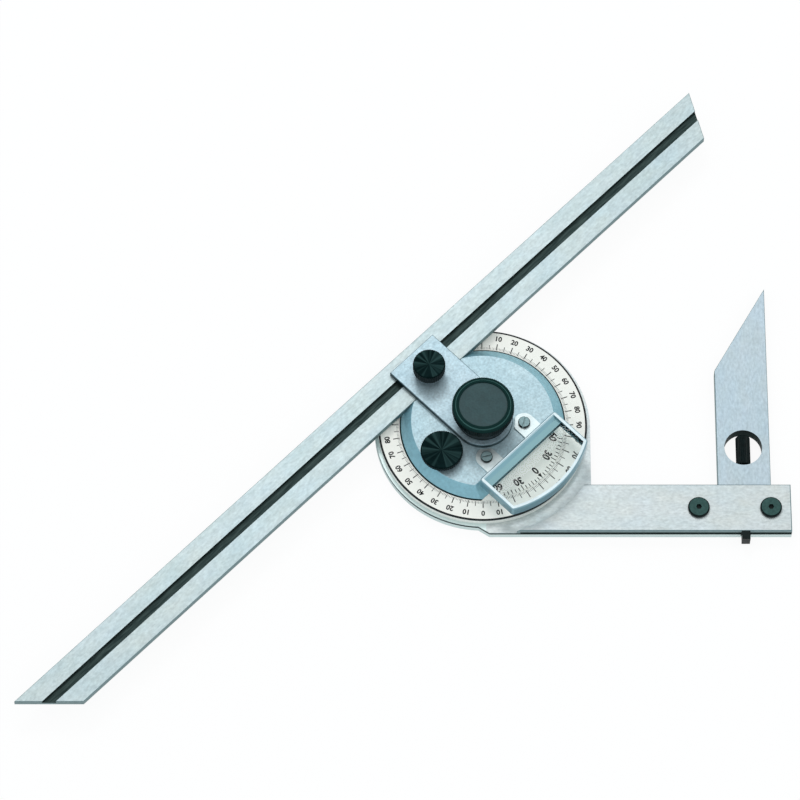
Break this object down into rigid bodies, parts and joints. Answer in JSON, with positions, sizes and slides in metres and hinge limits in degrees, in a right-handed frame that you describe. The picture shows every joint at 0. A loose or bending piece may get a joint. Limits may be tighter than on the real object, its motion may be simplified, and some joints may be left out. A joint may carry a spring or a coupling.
{
  "type": "bevel protractor",
  "caption": "Universal bevel protractor: round dial with vernier and magnifier on a stock, a long grooved blade clamped across it, and a pointed acute-angle attachment.",
  "frame": {"origin": "on the pivot axis at the flat back face", "axes": "+X along the stock away from the dial, +Y away from the stock's working edge, +Z out of the dial's face; the blade stands at 45 degrees to the stock"},
  "size_m": [0.2407, 0.2121, 0.0209],
  "materials": {
    "ground_steel": "finely ground steel with soft edges",
    "satin_steel": "satin steel with a cool tint",
    "scale_cream": "cream dial enamel with black graduations",
    "black_finish": "black finish, turned and knurled",
    "knob_face": "dark grey-green disc, bare",
    "magnifier_finish": "pale blue-grey satin coat",
    "lens_glass": "clear reading lens",
    "bright_steel": "bright plated steel",
    "plain_steel": "turned steel",
    "bearing_brass": "turned brass"
  },
  "bodies": {
    "stock_base": {"base_body": "ground_steel", "main_scale_ring": "scale_cream", "scale_ring_screws": "plain_steel", "ring_gear": "plain_steel", "ring_gear_screws": "plain_steel", "pivot_stud": "plain_steel", "thrust_washer": "bearing_brass", "guide_screws": "black_finish", "guide_nuts": "plain_steel"},
    "turret": {"turret_plate": "satin_steel", "turret_bush": "bearing_brass", "clamp_arm": "satin_steel", "arm_screws": "plain_steel", "arm_dowels": "plain_steel", "vernier_plate": "scale_cream", "vernier_screws": "plain_steel", "magnifier_bracket": "bright_steel", "bracket_screws": "bright_steel", "magnifier_frame": "magnifier_finish", "magnifier_screws": "plain_steel", "magnifier_lens": "lens_glass", "lock_washer": "bright_steel", "lock_spring_washer": "plain_steel", "pinion_bush": "bearing_brass", "fine_spring_washer": "plain_steel", "clamp_bush": "bearing_brass", "clamp_pad": "bearing_brass"},
    "sliding_blade": {"blade": "ground_steel"},
    "locking_knob": {"lock_knob": "black_finish", "lock_knob_insert": "bearing_brass", "lock_knob_face": "knob_face"},
    "clamping_knob": {"blade_clamp_knob": "black_finish", "blade_clamp_screw": "plain_steel"},
    "fine_adjuster": {"fine_knob": "black_finish", "fine_shaft": "plain_steel", "pinion": "plain_steel"},
    "attachment": {"acute_blade": "ground_steel"},
    "hook": {"hook_bolt": "black_finish"},
    "nut": {"clamp_nut": "black_finish"}
  },
  "joints": [
    {"name": "turret_turn", "type": "hinge", "parent": "stock_base", "child": "turret", "pos_m": [0, 0, 0.0055], "axis": [0, 0, 1], "continuous": true},
    {"name": "blade_slide", "type": "slide", "parent": "turret", "child": "sliding_blade", "axis": [0.7071, 0.7071, 0], "range_m": [-0.109, 0.141]},
    {"name": "lock_knob_turn", "type": "hinge", "parent": "stock_base", "child": "locking_knob", "pos_m": [0, 0, 0.016], "axis": [0, 0, 1], "range_deg": [0, 180]},
    {"name": "clamp_knob_turn", "type": "hinge", "parent": "turret", "child": "clamping_knob", "pos_m": [-0.01683, 0.01556, 0.015], "axis": [0, 0, 1], "range_deg": [0, 360]},
    {"name": "fine_knob_turn", "type": "hinge", "parent": "turret", "child": "fine_adjuster", "pos_m": [-0.01293, -0.01164, 0.011], "axis": [0, 0, 1], "continuous": true},
    {"name": "attachment_slide", "type": "slide", "parent": "stock_base", "child": "attachment", "axis": [1, 0, 0], "range_m": [-0.0005, 0.0005]},
    {"name": "nut_turn", "type": "hinge", "parent": "attachment", "child": "nut", "pos_m": [0.0821, -0.0071, 0.0024], "axis": [0, 1, 0], "range_deg": [0, 720]},
    {"name": "hook_slide", "type": "slide", "parent": "attachment", "child": "hook", "axis": [0, -1, 0], "range_m": [0, 0.0008]}
  ],
  "couplings": [
    {"joint": "fine_knob_turn", "follows": "turret_turn", "ratio": -5.8333},
    {"joint": "hook_slide", "follows": "nut_turn", "m_per_rad": 0.000063662}
  ]
}
